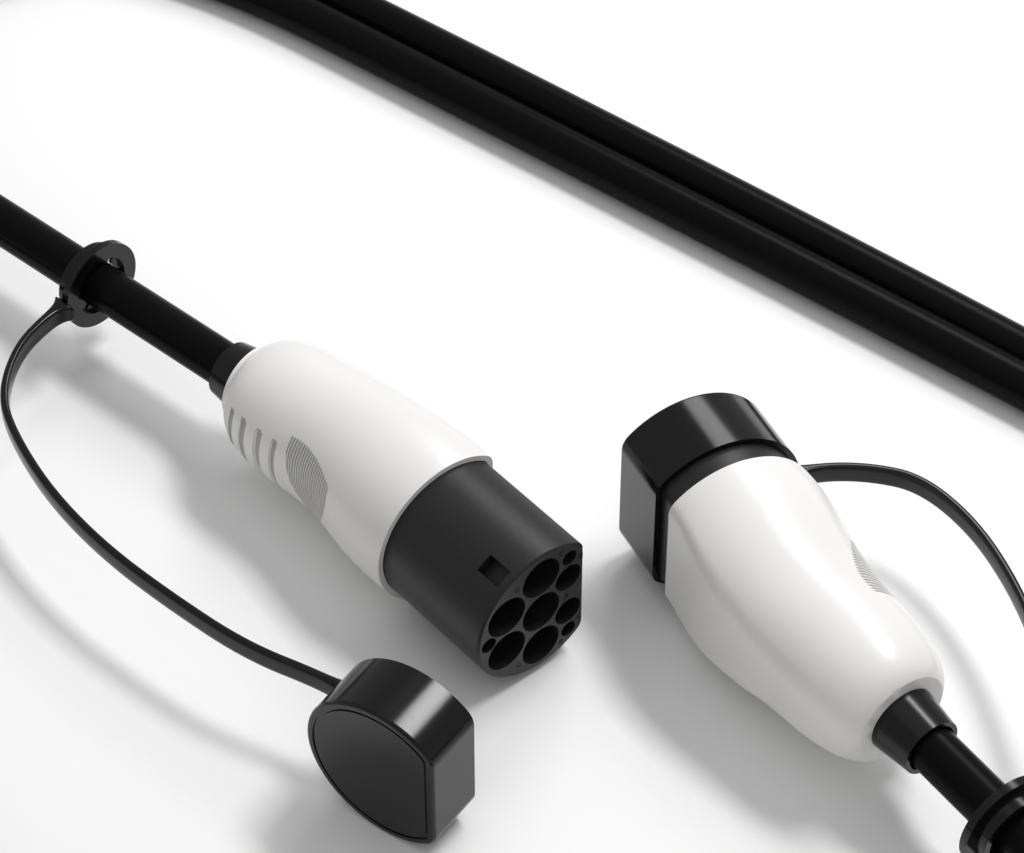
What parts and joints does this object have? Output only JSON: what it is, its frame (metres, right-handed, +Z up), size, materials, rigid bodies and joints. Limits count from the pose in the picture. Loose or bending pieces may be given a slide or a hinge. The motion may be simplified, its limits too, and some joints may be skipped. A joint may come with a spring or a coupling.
{
  "type": "electric car charging cable",
  "caption": "Charging cable with a plug for the charge point at one end and a connector for the car at the other, each with a dust cap held by a strap.",
  "frame": {"origin": "on the floor, under the middle of the box round the two ends and their caps", "axes": "+X along the plug's nose, +Z up, floor at z = 0"},
  "size_m": [0.769, 0.4792, 0.0671],
  "materials": {
    "handle": "white, polished moulding",
    "nose": "fine moulded grain",
    "seal": "smooth rubber",
    "carrier": "plain moulded",
    "screw": "bright zinc",
    "gland": "fine moulded grain",
    "core": "wire insulation",
    "cap": "soft satin moulding",
    "contact": "silver plating",
    "jacket": "smooth satin jacket"
  },
  "bodies": {
    "cable_and_ends": {"plug_handle": "handle", "plug_nose": "nose", "plug_nose_seal": "seal", "plug_contact_carrier": "carrier", "plug_carrier_screws": "screw", "plug_gland_nut": "gland", "plug_gland_seal": "seal", "plug_clamp_upper": "carrier", "plug_clamp_lower": "carrier", "plug_clamp_screws": "screw", "plug_wires": "core", "plug_contact_l1": "contact", "plug_contact_l2": "contact", "plug_contact_l3": "contact", "plug_contact_n": "contact", "plug_contact_pe": "contact", "plug_contact_cp": "contact", "plug_contact_pp": "contact", "connector_handle": "handle", "connector_nose": "nose", "connector_nose_seal": "seal", "connector_contact_carrier": "carrier", "connector_carrier_screws": "screw", "connector_gland_nut": "gland", "connector_gland_seal": "seal", "connector_clamp_upper": "carrier", "connector_clamp_lower": "carrier", "connector_clamp_screws": "screw", "connector_wires": "core", "connector_strap_ring": "cap", "connector_strap": "cap", "connector_contact_l1": "contact", "connector_contact_l2": "contact", "connector_contact_l3": "contact", "connector_contact_n": "contact", "connector_contact_pe": "contact", "connector_contact_cp": "contact", "connector_contact_pp": "contact", "cable": "jacket"},
    "plug_cap_set": {"plug_cap": "cap", "plug_strap": "cap", "plug_strap_ring": "cap"},
    "connector_cap": {"connector_cap": "cap"}
  },
  "joints": [
    {"name": "plug_cap_swing", "type": "hinge", "parent": "cable_and_ends", "child": "plug_cap_set", "pos_m": [-0.19336, -0.03935, 0.03], "axis": [-0.989, -0.1478, 0], "range_deg": [0, 100]},
    {"name": "connector_cap_off", "type": "slide", "parent": "cable_and_ends", "child": "connector_cap", "axis": [-0.9715, 0.2368, 0], "range_m": [0, 0.045], "deforming": ["connector_strap"]}
  ]
}
